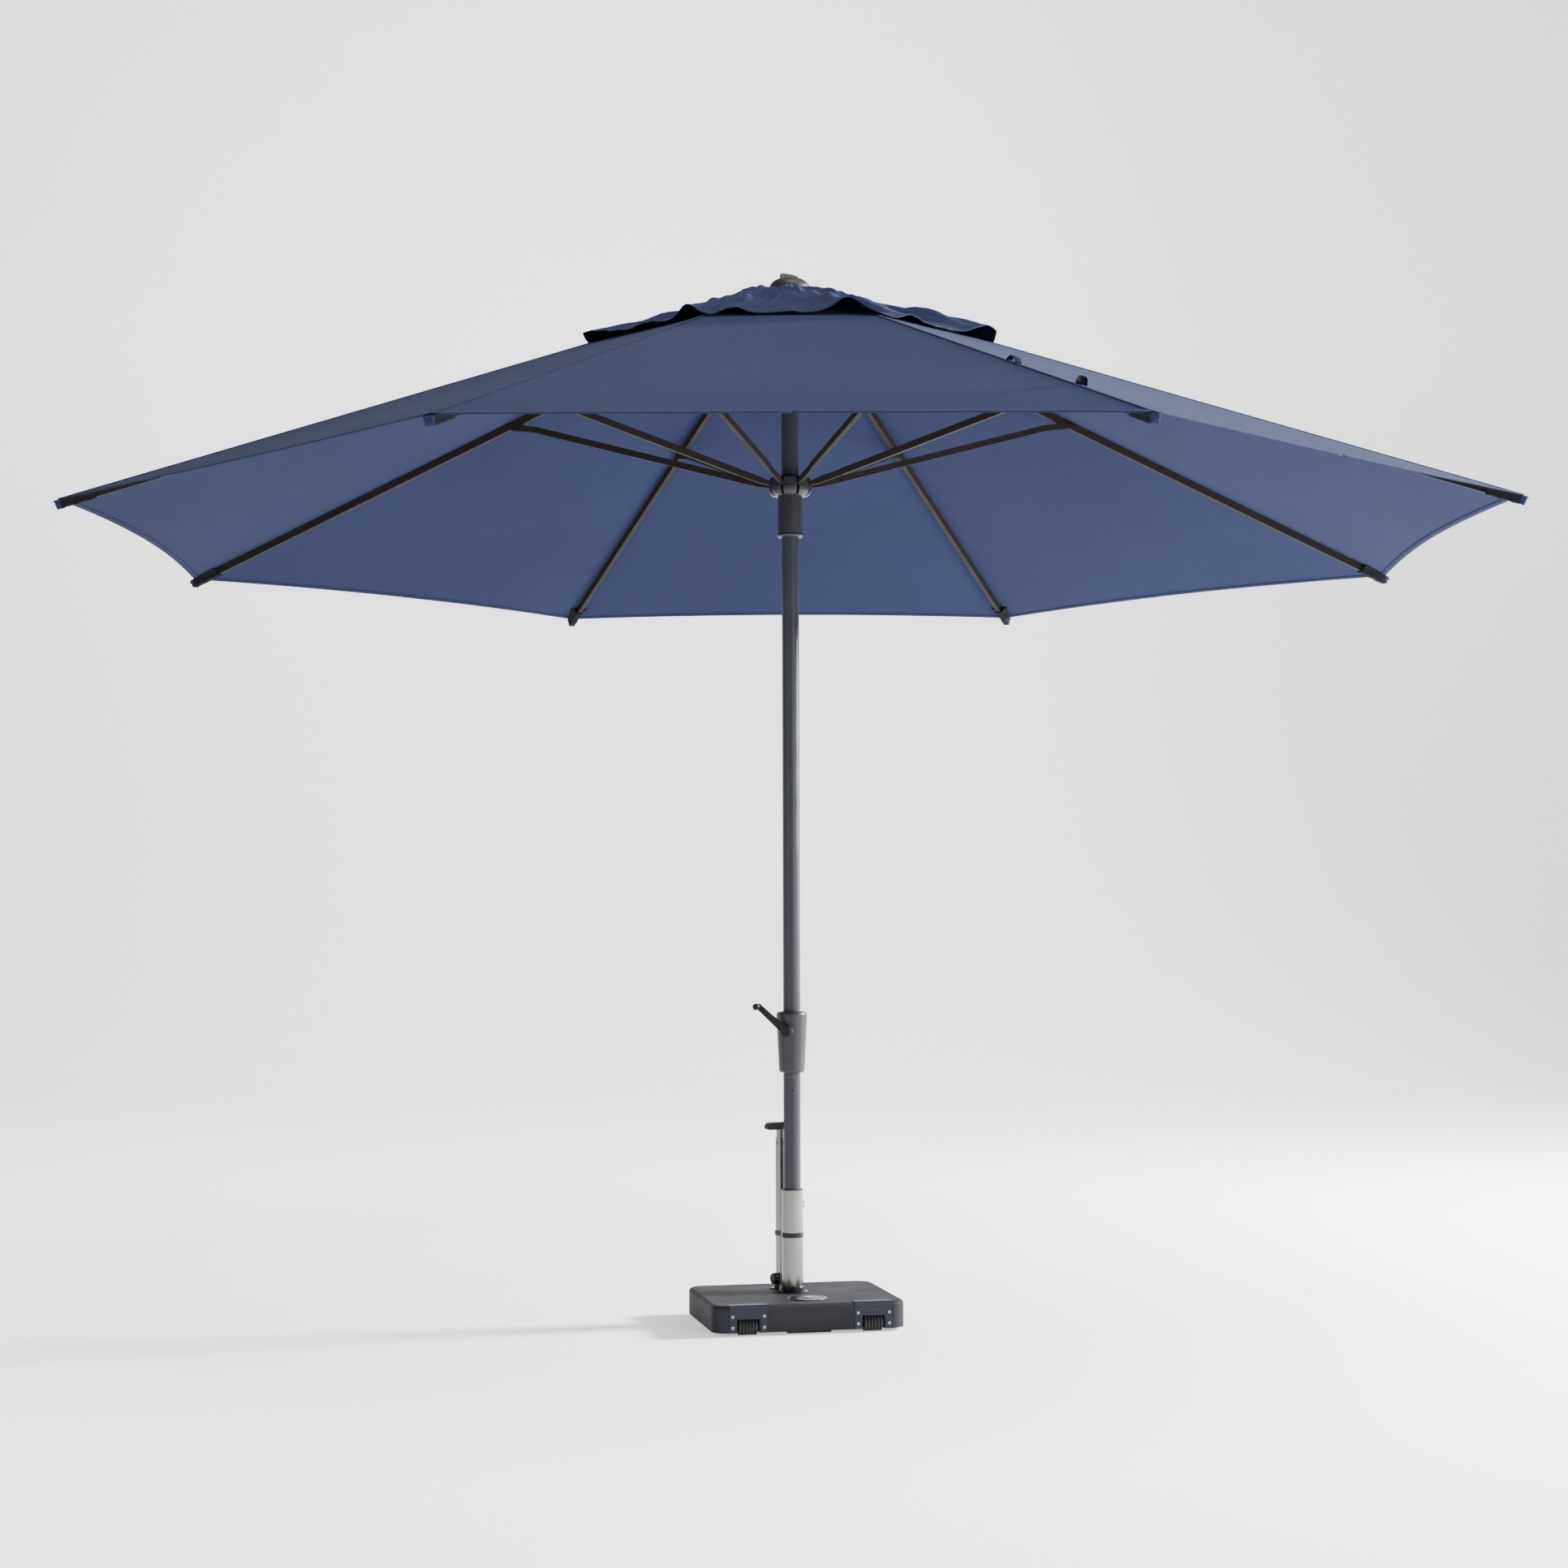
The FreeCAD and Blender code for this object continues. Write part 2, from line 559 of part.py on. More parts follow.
def make_roller(x):
    """Ribbed roller: six round ridges between narrow grooves."""
    ridges = 6
    pitch = ROLLER_W / ridges
    half = ROLLER_W / 2
    outline = [(AXLE_R + 0.05, -half)]
    for i in range(ridges):
        left = -half + i * pitch
        for share, r in ((0.0, ROLLER_R - 3.5), (0.18, ROLLER_R - 0.8), (0.35, ROLLER_R),
                         (0.65, ROLLER_R), (0.82, ROLLER_R - 0.8)):
            outline.append((r, left + share * pitch))
    outline += [(ROLLER_R - 3.5, half), (AXLE_R + 0.05, half)]
    return moved(revolved(outline, X_AXIS), x, ROLLER_Y, ROLLER_R)


def make_tube_group():
    tube = ring(TUBE_R, TUBE_R - TUBE_WALL, TUBE_FOOT_Z, TUBE_TOP_Z)
    stud_hole = radial(along_x(4.05, 20, 40), CLAMP_AZ, CLAMP_Z)
    tube = tube.cut(stud_hole)
    collar = revolved([(TUBE_R, BASE_TOP_Z), (43.5, BASE_TOP_Z), (43.5, BASE_TOP_Z + 2),
                       (36, BASE_TOP_Z + 4.5), (33.5, BASE_TOP_Z + 7), (33, BASE_TOP_Z + 15),
                       (32, BASE_TOP_Z + 17), (TUBE_R, BASE_TOP_Z + 17)])
    collar = collar.cut(turned(box(33.6, 60, -22, 22, BASE_TOP_Z - 1, BASE_TOP_Z + 20), HANDLE_AZ))
    bore = POLE_R + 0.1
    sleeve_r = TUBE_R - TUBE_WALL
    top_bush = revolved([(bore, 338), (sleeve_r, 338), (sleeve_r, TUBE_TOP_Z), (TUBE_R, TUBE_TOP_Z),
                         (TUBE_R, TUBE_TOP_Z + 2), (TUBE_R - 2, TUBE_TOP_Z + 4), (bore, TUBE_TOP_Z + 4)])
    seat = POLE_FOOT_Z
    low_bush = revolved([(0, TUBE_FOOT_Z + 2), (sleeve_r, TUBE_FOOT_Z + 2), (sleeve_r, seat + 40),
                         (bore, seat + 40), (bore, seat), (0, seat)])
    return tube, collar, [top_bush, low_bush]


def make_clamp_knob():
    """Screw with a five-lobed knob that presses on the pole through the base tube."""
    lobes = 5
    head = along_x(10.5, 33, 47)
    for i in range(lobes):
        a = 360.0 / lobes * i
        head = head.fuse(moved(along_x(4.6, 33, 47), 0, 9.5 * cosd(a), 9.5 * sind(a)))
    head = head.removeSplitter()
    stud = along_x(4.0, POLE_R + 0.3, 34)
    return radial(fused(head, stud), CLAMP_AZ, CLAMP_Z)


# ---------------------------------------------------------------- handle

def handle_place(shape):
    """From a frame with +X away from the pole to the handle's foot."""
    return moved(turned(shape, HANDLE_AZ), HANDLE_X, HANDLE_Y, HANDLE_PIVOT_Z)


def square_tube(width, wall, z0, z1):
    outer = box(-width / 2, width / 2, -width / 2, width / 2, z0, z1)
    outer = outer.makeFillet(3.0, [e for e in outer.Edges if abs(e.tangentAt(0).z) > 0.9])
    inner_w = width - 2 * wall
    inner = box(-inner_w / 2, inner_w / 2, -inner_w / 2, inner_w / 2, z0 - 1, z1 + 1)
    return outer.cut(inner)


def cross_y(radius, y0, y1, x=0.0, z=0.0):
    return rod(radius, V(x, y0, z), V(x, y1, z))


def make_handle():
    foot = -HANDLE_PIVOT_Z
    plate_z = BASE_TOP_Z + foot
    bolt_r = 4.0
    ear_in = HANDLE_W / 2 + 0.5
    ear_out = ear_in + 3
    bracket = box(-12, 36, -ear_out, ear_out, plate_z, plate_z + 3)
    for side in (-1, 1):
        near = min(side * ear_in, side * ear_out)
        ear = box(-11, 11, near, near + 3, plate_z, 0)
        bracket = bracket.fuse(ear).fuse(cross_y(11, near, near + 3))
    bracket = bracket.cut(cross_y(bolt_r, -30, 30)).removeSplitter()
    bracket = bracket.cut(disc(3.0, plate_z - 1, plate_z + 4, BRACKET_BOLT_X))

    outer = square_tube(HANDLE_W, 1.5, -16, HANDLE_TOP_Z + foot)
    outer = outer.cut(cross_y(bolt_r + 0.05, -30, 30))
    outer = outer.cut(cross_y(3.0, 0, 30, 0, HANDLE_TOP_Z + foot - 14))
    slide_w = HANDLE_W - 3.4
    inner = square_tube(slide_w, 1.2, 18, GRIP_BOTTOM_Z + foot + 8)

    grip_half = 50.0
    z0 = GRIP_BOTTOM_Z + foot
    z1 = GRIP_TOP_Z + foot
    grip = box(-13, 13, -grip_half, grip_half, z0, z1)
    for middle, radius in ((z1, 14.0), (z0, 6.0)):
        ends = [e for e in grip.Edges if abs(e.tangentAt(0).x) > 0.9
                and abs(e.CenterOfMass.z - middle) < 0.5 and e.BoundBox.XLength > 25]
        grip = grip.makeFillet(radius, ends)
    rims = [e for e in grip.Edges if e.BoundBox.XMin > 12.9 or e.BoundBox.XMax < -12.9]
    grip = grip.makeFillet(4.0, rims)
    socket = box(-slide_w / 2, slide_w / 2, -slide_w / 2, slide_w / 2, z0 - 1, z0 + 8)
    grip = grip.cut(socket)

    knob_y = ear_out + 1
    lobes = 6
    knob = cross_y(15.5, knob_y, knob_y + 14)
    knob = knob.makeFillet(4.0, [e for e in knob.Edges if e.BoundBox.YMin > knob_y + 13])
    for i in range(lobes):
        a = 360.0 / lobes * i
        knob = knob.cut(cross_y(3.0, knob_y - 1, knob_y + 15, 17.0 * cosd(a), 17.0 * sind(a)))
    bolt = fused(cross_y(bolt_r - 0.05, -(ear_out + 2), knob_y + 1),
                 cross_y(7, -(ear_out + 5), -(ear_out + 0.3)))
    knob = fused(knob, bolt)
    return [handle_place(s) for s in (bracket, outer, inner, grip, knob)]


def make_clip():
    """Band round the base tube with an open U that the folded-up handle rests in."""
    z0 = 230.5
    z1 = 244.0
    reach = math.hypot(HANDLE_X, HANDLE_Y)
    half = HANDLE_W / 2 + 0.4
    arm = box(TUBE_R - 4, reach + HANDLE_W / 2 - 2, -half - 2.5, half + 2.5, z0, z1)
    arm = arm.cut(box(reach - half, 120, -half, half, z0 - 1, z1 + 1))
    band = fused(disc(TUBE_R + 1.1, z0, z1), turned(arm, HANDLE_AZ))
    return band.cut(disc(TUBE_R, z0 - 1, z1 + 1))


def make_feet():
    feet = []
    for x in (-205.0, 205.0):
        feet.append(disc(22, 0, BASE_BOTTOM_Z, x, BASE_BACK - 55))
    feet.append(box(-60, 60, BASE_FRONT + 22, BASE_FRONT + 42, 0, BASE_BOTTOM_Z))
    return feet


# ---------------------------------------------------------------- cloth

def cloth_height(rho, lift):
    """Height of the cloth's underside above a rib at this distance from the axis."""
    return HUB_PIVOT_Z - (rho - HUB_PIVOT_R) * tand(RIB_SLOPE) + RIB_H / 2 / cosd(RIB_SLOPE) + lift


def half_gore(inner_r, outer_r, sag, lift, side):
    """Flat cloth between a rib and the middle of the next gap, as a closed solid."""
    half = RIB_STEP / 2

    def point(distance, across):
        """distance is measured along the gap's middle line, across from it to the rib."""
        rho = distance / cosd(half)
        middle = V(distance * cosd(half), side * distance * sind(half), cloth_height(rho, lift))
        return middle + V(sind(half), -side * cosd(half), 0) * across

    d0 = inner_r * cosd(half)
    d1 = outer_r * cosd(half)
    corners = [point(d0, PANEL_GAP), point(d0, d0 * tand(half)), point(d1, d1 * tand(half))]
    quarter = point(d1 - 0.75 * sag, d1 * tand(half) / 2)
    middle = point(d1 - sag, PANEL_GAP)
    edges = [Part.LineSegment(corners[0], corners[1]).toShape(),
             Part.LineSegment(corners[1], corners[2]).toShape(),
             Part.Arc(corners[2], quarter, middle).toShape(),
             Part.LineSegment(middle, corners[0]).toShape()]
    return Part.Face(Part.Wire(edges)).extrude(V(0, 0, CLOTH_T))


def cloth_panel(azimuth):
    solids = []
    for inner_r, outer_r, sag, rise in ((PANEL_INNER_R, CANOPY_R, HEM_SAG, CLOTH_LIFT),
                                        (FLAP_INNER_R, FLAP_R, FLAP_SAG, CLOTH_LIFT + FLAP_RISE)):
        halves = [half_gore(inner_r, outer_r, sag, rise, side) for side in (-1, 1)]
        solids.append(turned(fused(*halves), azimuth))
    return solids


# ---------------------------------------------------------------- writing the parts

def main():
    os.makedirs("parts", exist_ok=True)

    rib = rib_parts()
    strut = strut_parts()
    for k, azimuth in enumerate(rib_azimuths(), start=1):
        save("rib_%d" % k, *[rib_place(s, azimuth) for s in rib])
        save("strut_%d" % k, *[strut_place(s, azimuth) for s in strut])
        save("canopy_panel_%d" % k, *cloth_panel(azimuth))

    hub, hub_pins = make_hub()
    save("top_hub", hub)
    save("hub_pins", *hub_pins)
    save("lift_pulley", make_pulley())
    save("finial_cap", *make_finial())
    runner, runner_pins = make_runner()
    save("runner", runner)
    save("runner_pins", *runner_pins)

    pole_lower, pole_upper, coupling, button = make_pole()
    save("pole_lower", pole_lower)
    save("pole_upper", pole_upper)
    save("pole_coupling", coupling)
    save("pole_button", button)
    housing_front, housing_rear = make_housing()
    save("crank_housing_front", housing_front)
    save("crank_housing_rear", housing_rear)
    spool, spring, arm, knob = make_crank()
    save("spool_shaft", spool)
    save("brake_spring", spring)
    save("crank_arm", arm)
    save("crank_knob", knob)
    inner_fall, outer_fall = make_cords()
    save("lift_cord_inner", *inner_fall)
    save("lift_cord_outer", *outer_fall)

    shell, core, plates, screws = make_base()
    save("base_shell", base_place(shell))
    save("base_core", base_place(core))
    save("wheel_plates", *[base_place(p) for p in plates])
    save("plate_screws", *[base_place(s) for s in screws])
    axles = []
    for x, name in zip(roller_sides(), ("roller_left", "roller_right")):
        save(name, base_place(make_roller(x)))
        axles.append(rod(AXLE_R, V(x - 33, ROLLER_Y, ROLLER_R), V(x + 33, ROLLER_Y, ROLLER_R)))
    save("roller_axles", *[base_place(a) for a in axles])
    save("base_feet", *[base_place(f) for f in make_feet()])
    tube, collar, bushes = make_tube_group()
    save("base_tube", tube)
    save("tube_collar", collar)
    save("tube_bushes", *bushes)
    save("tube_clamp_knob", make_clamp_knob())
    save("handle_clip", make_clip())
    bracket, outer, inner, grip, pivot_knob = make_handle()
    save("handle_bracket", bracket, make_bracket_bolt())
    save("handle_outer", outer)
    save("handle_inner", inner)
    save("handle_grip", grip)
    save("handle_pivot_knob", pivot_knob)


main()
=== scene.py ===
import json
import math

import bpy
from mathutils import Matrix, Vector, noise


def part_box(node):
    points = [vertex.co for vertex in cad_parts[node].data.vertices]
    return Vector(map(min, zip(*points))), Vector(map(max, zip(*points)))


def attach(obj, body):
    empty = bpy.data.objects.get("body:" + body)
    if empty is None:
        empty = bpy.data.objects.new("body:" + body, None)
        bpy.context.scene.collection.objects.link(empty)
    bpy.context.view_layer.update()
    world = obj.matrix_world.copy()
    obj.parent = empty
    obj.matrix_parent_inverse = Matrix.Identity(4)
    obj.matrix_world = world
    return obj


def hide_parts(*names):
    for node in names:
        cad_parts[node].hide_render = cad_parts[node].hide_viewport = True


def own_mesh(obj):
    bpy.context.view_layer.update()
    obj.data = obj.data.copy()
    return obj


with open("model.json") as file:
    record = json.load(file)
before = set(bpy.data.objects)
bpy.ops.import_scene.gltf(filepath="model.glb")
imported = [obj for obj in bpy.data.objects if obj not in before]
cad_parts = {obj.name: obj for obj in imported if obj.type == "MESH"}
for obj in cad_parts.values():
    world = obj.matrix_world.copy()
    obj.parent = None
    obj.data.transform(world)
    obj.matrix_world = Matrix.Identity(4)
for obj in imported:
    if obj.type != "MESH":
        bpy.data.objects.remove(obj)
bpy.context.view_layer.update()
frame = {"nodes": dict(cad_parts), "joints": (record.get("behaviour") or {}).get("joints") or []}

# Metres, +Z up, the pole on the Z axis and the front towards -Y.
JOINTS = {j["name"]: j for j in frame["joints"]}
HUB = Vector(JOINTS["rib_fold_1"]["pos_m"])
PIN = Vector(JOINTS["strut_fold_1"]["pos_m"])
HUB_R = math.hypot(HUB.x, HUB.y)
PIN_R = math.hypot(PIN.x, PIN.y)
FALL = (HUB.z - PIN.z) / (PIN_R - HUB_R)
SLOPE = math.atan(FALL)
RIBS = 8
STEP = 2 * math.pi / RIBS
FIRST_AZ = STEP / 2
HALF = STEP / 2
CANOPY_R = max(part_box("canopy_panel_%d" % k)[1].x for k in (1, 8)) / math.cos(HALF)
RIB_HALF_H = 0.010
CLOTH_LIFT = 0.0022
# Height of the cloth's cone above the ribs' inner pins.
CLOTH_Z = HUB.z + (RIB_HALF_H / math.cos(SLOPE)) + CLOTH_LIFT
# The cloth's height over a rib's middle line, and its fall to the side of a rib.
COVER_UP = RIB_HALF_H + CLOTH_LIFT * math.cos(SLOPE)
SIDE_FALL = FALL * math.tan(HALF) * math.cos(SLOPE)

# Canopy: the vent's radius, how far the hem curves in between ribs, and the hem itself.
VENT_R = 0.38
HEM_SAG = 0.040
HEM_WIDTH = 0.016
HEM_THICK = 0.0034
HEM_POINTS = 40
HEM_STITCH = 0.0042
CANOPY_GRID = (76, 34)

# Vent flap.
FLAP_INNER_R = 0.0585
FLAP_R = 0.612
FLAP_SAG = 0.030
FLAP_HEM_WIDTH = 0.010
FLAP_HEM_THICK = 0.0030
FLAP_GRID = (44, 30)

# Share of its width that the gathered cloth keeps when the umbrella is closed.
CANOPY_KEEP = 0.14
FLAP_KEEP = 0.25

# Seam over each rib: outline across and up, and the rows of stitches on it.
SEAM_OUTLINE = [(-0.0075, -0.0012), (-0.0065, 0.0006), (0.0, 0.0013), (0.0065, 0.0006),
                (0.0075, -0.0012), (0.0, -0.0006)]
SEAM_POINTS = 90
SEAM_LIFT = 0.0007
STITCH_PITCH = 0.012
STITCH_ROWS = (-0.0042, 0.0042)
STITCH_SHAPE = ((0, 0.0004, 0.0006), (0, -0.0004, 0.0006), (0.004, 0.0005, 0.0016),
                (0.004, -0.0005, 0.0016), (0.008, 0.0004, 0.0006), (0.008, -0.0004, 0.0006))

# Pocket at a rib's tip: the flat under the rib takes the middle share of each row.
POCKET_ROWS = 14
POCKET_COLUMNS = 21
POCKET_LENGTH = 0.092
POCKET_PAST = 0.003
POCKET_DEPTH = 0.0124
POCKET_FLAT = 0.4
POCKET_FLAT_HALF = 0.0095
POCKET_CLOTH = 0.0012
POCKET_END = ((0.93, 0.0016), (0.6, 0.0028), (0.3, 0.0030), (0.05, 0.0030))

# Strap and tab sewn into the seam at the front right.
STRAP_RIB = 7
STRAP_RHO = 1.325
STRAP_LENGTH = 0.058
TAB_RHO = 1.655
TAB_HEIGHT = 0.021
TAB_RADIUS = 0.007
TONGUE_LENGTH = 0.014
TONGUE_DROP = 0.003

# Cap and base.
WING_Z = 2.9215
BASE_TURN = 12.0
BADGE_OUT = 0.132
BADGE_SIDE = 0.012
BADGE_SEGMENTS = 72
BADGE_PLATE = [(0.0560, -0.0005), (0.0560, 0.0012), (0.0548, 0.0018), (0.0300, 0.0020)]
BADGE_RIM = [(0.0530, 0.0016), (0.0526, 0.0026), (0.0508, 0.0026), (0.0504, 0.0016)]
TILE_UP = 0.0026
TILE_LENGTH = 0.024
SHARP_DEG = 32


# ---------------------------------------------------------------- materials

class Nodes:
    """A short way to write a material's node tree."""

    def __init__(self, name, rough=0.5, metallic=0.0, gloss=0.5):
        self.material = bpy.data.materials.new(name)
        self.material.use_nodes = True
        self.tree = self.material.node_tree
        self.shader = self.tree.nodes["Principled BSDF"]
        self.shader.inputs["Roughness"].default_value = rough
        self.shader.inputs["Metallic"].default_value = metallic
        self.shader.inputs["Specular IOR Level"].default_value = gloss
        self.coords = self.tree.nodes.new("ShaderNodeTexCoord")

    def join(self, value, socket):
        if isinstance(value, bpy.types.NodeSocket):
            self.tree.links.new(value, socket)
        else:
            socket.default_value = value

    def noise(self, scale, detail=4.0, stretch=(1, 1, 1), space="Object"):
        mapping = self.tree.nodes.new("ShaderNodeMapping")
        mapping.inputs["Scale"].default_value = stretch
        self.tree.links.new(self.coords.outputs[space], mapping.inputs["Vector"])
        node = self.tree.nodes.new("ShaderNodeTexNoise")
        node.inputs["Scale"].default_value = scale
        node.inputs["Detail"].default_value = detail
        self.tree.links.new(mapping.outputs["Vector"], node.inputs["Vector"])
        return node.outputs["Fac"]

    def wave(self, scale, axis):
        node = self.tree.nodes.new("ShaderNodeTexWave")
        node.bands_direction = axis
        node.inputs["Scale"].default_value = scale
        node.inputs["Distortion"].default_value = 0.4
        self.tree.links.new(self.coords.outputs["UV"], node.inputs["Vector"])
        return node.outputs["Fac"]

    def math(self, operation, a, b=0.0):
        node = self.tree.nodes.new("ShaderNodeMath")
        node.operation = operation
        self.join(a, node.inputs[0])
        self.join(b, node.inputs[1])
        return node.outputs[0]

    def ramp(self, value, low, high):
        """value, stretched so that low gives 0 and high gives 1."""
        node = self.tree.nodes.new("ShaderNodeMapRange")
        self.join(value, node.inputs["Value"])
        node.inputs["From Min"].default_value = low
        node.inputs["From Max"].default_value = high
        return node.outputs["Result"]

    def mix(self, share, a, b):
        node = self.tree.nodes.new("ShaderNodeMix")
        node.data_type = "RGBA"
        self.join(share, node.inputs["Factor"])
        for value, socket in ((a, node.inputs[6]), (b, node.inputs[7])):
            self.join(value if isinstance(value, bpy.types.NodeSocket) else (*value, 1.0), socket)
        return node.outputs[2]

    def edge(self):
        """1 on worn convex edges and 0 elsewhere."""
        node = self.tree.nodes.new("ShaderNodeNewGeometry")
        return self.ramp(node.outputs["Pointiness"], 0.52, 0.60)

    def bump(self, height, strength, distance):
        node = self.tree.nodes.new("ShaderNodeBump")
        node.inputs["Strength"].default_value = strength
        node.inputs["Distance"].default_value = distance
        self.join(height, node.inputs["Height"])
        self.tree.links.new(node.outputs["Normal"], self.shader.inputs["Normal"])

    def color(self, value):
        self.join(value, self.shader.inputs["Base Color"])

    def rough(self, value):
        self.join(value, self.shader.inputs["Roughness"])


def shade(color, factor):
    return tuple(min(c * factor, 1.0) for c in color)


def coated(name, color, rough, grain, depth, worn=1.8, gloss=0.3):
    """Powder coat or moulded plastic: fine grain, faint blotches and paler edges."""
    n = Nodes(name, rough, 0.0, gloss)
    blotch = n.ramp(n.noise(9.0, 5.0), 0.35, 0.65)
    speck = n.noise(grain, 3.0)
    base = n.mix(blotch, shade(color, 0.88), shade(color, 1.12))
    base = n.mix(n.ramp(speck, 0.45, 0.75), base, shade(color, 1.25))
    n.color(n.mix(n.math("MULTIPLY", n.edge(), 0.45), base, shade(color, worn)))
    n.rough(n.math("ADD", n.math("MULTIPLY", blotch, 0.10), rough - 0.05))
    n.bump(speck, 0.35, depth)
    return n.material


def brushed(name, color, rough, stretch):
    """Steel with fine lines along its length and slight smudges."""
    n = Nodes(name, rough, 1.0)
    lines = n.noise(260.0, 3.0, stretch)
    smudge = n.ramp(n.noise(14.0, 4.0), 0.35, 0.7)
    base = n.mix(n.ramp(lines, 0.3, 0.7), shade(color, 0.86), shade(color, 1.08))
    n.color(n.mix(n.math("MULTIPLY", smudge, 0.3), base, shade(color, 0.78)))
    n.rough(n.math("ADD", n.math("MULTIPLY", lines, 0.14), rough - 0.05))
    n.bump(lines, 0.03, 0.0001)
    return n.material


def cloth(name, color, seam_line=True):
    """Woven polyester. UV is in metres: V runs from the hem, U along it."""
    n = Nodes(name, 0.85, 0.0, 0.02)
    n.shader.inputs["Sheen Weight"].default_value = 0.03
    n.shader.inputs["Sheen Roughness"].default_value = 0.45
    n.shader.inputs["Sheen Tint"].default_value = (0.66, 0.72, 1.0, 1.0)
    warp = n.wave(330.0, "X")
    weft = n.wave(330.0, "Y")
    weave = n.math("MULTIPLY", n.math("ADD", warp, weft), 0.5)
    slub = n.noise(46.0, 6.0, (1, 9, 1), "UV")
    fade = n.ramp(n.noise(1.7, 3.0), 0.3, 0.7)
    base = n.mix(fade, shade(color, 0.93), shade(color, 1.07))
    base = n.mix(n.math("MULTIPLY", n.ramp(slub, 0.4, 0.75), 0.35), base, shade(color, 1.18))
    base = n.mix(n.math("MULTIPLY", weave, 0.22), base, shade(color, 0.72))
    height = n.math("ADD", weave, n.math("MULTIPLY", slub, 0.8))
    if seam_line:
        split = n.tree.nodes.new("ShaderNodeSeparateXYZ")
        n.tree.links.new(n.coords.outputs["UV"], split.inputs[0])
        along, inward = split.outputs["X"], split.outputs["Y"]
        dash = n.math("LESS_THAN", n.math("FRACT", n.math("DIVIDE", along, HEM_STITCH)), 0.68)
        off = n.math("ABSOLUTE", n.math("SUBTRACT", inward, HEM_WIDTH - 0.002))
        stitch = n.math("MULTIPLY", n.math("LESS_THAN", off, 0.0006), dash)
        base = n.mix(stitch, base, shade(color, 0.45))
        height = n.math("SUBTRACT", height, n.math("MULTIPLY", stitch, 2.0))
    n.color(base)
    n.bump(height, 0.30, 0.0004)
    return n.material


NAVY = (0.0158, 0.0198, 0.0485)
CLOTH = cloth("canopy_cloth", NAVY)
FLAP_CLOTH = cloth("flap_cloth", shade(NAVY, 0.97))
TAPE = cloth("seam_tape", shade(NAVY, 0.92), False)
POCKET = cloth("pocket_cloth", (0.0085, 0.0085, 0.0100), False)
THREAD = coated("thread", (0.012, 0.015, 0.032), 0.8, 900.0, 0.0002)
POLE_PAINT = coated("pole_paint", (0.0165, 0.0175, 0.0225), 0.36, 1500.0, 0.0002, 1.8, 0.22)
RIB_PAINT = coated("rib_paint", (0.0090, 0.0072, 0.0065), 0.60, 1500.0, 0.0002, 2.5, 0.06)
MOULDED = coated("moulded_plastic", (0.0140, 0.0148, 0.0185), 0.42, 900.0, 0.0004, 1.8, 0.30)
GLOSSY = coated("glossy_plastic", (0.006, 0.006, 0.007), 0.30, 500.0, 0.0002, 1.8, 0.16)
CAP_PLASTIC = coated("cap_plastic", (0.0085, 0.0072, 0.0066), 0.55, 700.0, 0.0004)
WING_PLASTIC = coated("wing_plastic", (0.036, 0.047, 0.045), 0.50, 700.0, 0.0004)
BASE_TOP = coated("base_plastic", (0.0150, 0.0150, 0.0185), 0.66, 620.0, 0.0009, 2.2, 0.08)
PLATES = coated("plate_plastic", (0.0120, 0.0135, 0.0215), 0.42, 1300.0, 0.0003, 2.2, 0.15)
TUBE_STEEL = brushed("tube_steel", (0.155, 0.149, 0.140), 0.14, (1, 1, 0.02))
BRIGHT_STEEL = brushed("fastener_steel", (0.20, 0.20, 0.21), 0.28, (1, 1, 1))
DARK_STEEL = brushed("spring_steel", (0.30, 0.30, 0.31), 0.38, (1, 1, 1))
RUBBER = coated("rubber", (0.0065, 0.0065, 0.0075), 0.58, 800.0, 0.0005)
CONCRETE = coated("concrete", (0.34, 0.33, 0.31), 0.92, 160.0, 0.0020, 1.1)
CORD = coated("lift_cord", (0.040, 0.040, 0.045), 0.85, 1400.0, 0.0008)

FINISH = {
    POLE_PAINT: ["pole_lower", "pole_upper"],
    RIB_PAINT: ["rib_%d" % k for k in range(1, 9)] + ["strut_%d" % k for k in range(1, 9)],
    MOULDED: ["crank_housing_front", "crank_housing_rear", "runner", "top_hub", "tube_bushes"],
    GLOSSY: ["crank_arm", "crank_knob", "tube_clamp_knob", "handle_clip", "handle_grip",
             "handle_pivot_knob", "tube_collar", "lift_pulley", "handle_bracket", "pole_button"],
    CAP_PLASTIC: ["finial_cap"],
    BASE_TOP: ["base_shell"],
    PLATES: ["wheel_plates"],
    TUBE_STEEL: ["base_tube", "handle_outer", "handle_inner"],
    BRIGHT_STEEL: ["plate_screws", "pole_coupling", "hub_pins", "runner_pins",
                   "spool_shaft", "roller_axles"],
    DARK_STEEL: ["brake_spring"],
    RUBBER: ["roller_left", "roller_right", "base_feet"],
    CONCRETE: ["base_core"],
    CORD: ["lift_cord_inner", "lift_cord_outer"],
    CLOTH: ["canopy_panel_%d" % k for k in range(1, 9)],
}


def finish_nodes():
    for material, names in FINISH.items():
        for name in names:
            mesh = frame["nodes"][name].data
            mesh.materials.clear()
            mesh.materials.append(material)
            mesh.polygons.foreach_set("use_smooth", [True] * len(mesh.polygons))
            mesh.set_sharp_from_angle(angle=math.radians(SHARP_DEG))


def paint_faces(node, material, wanted):
    """Give another material to the faces of a CAD node that wanted(centre) picks."""
    mesh = frame["nodes"][node].data
    mesh.materials.append(material)
    for face in mesh.polygons:
        if wanted(face.center):
            face.material_index = len(mesh.materials) - 1


# ---------------------------------------------------------------- mesh pieces

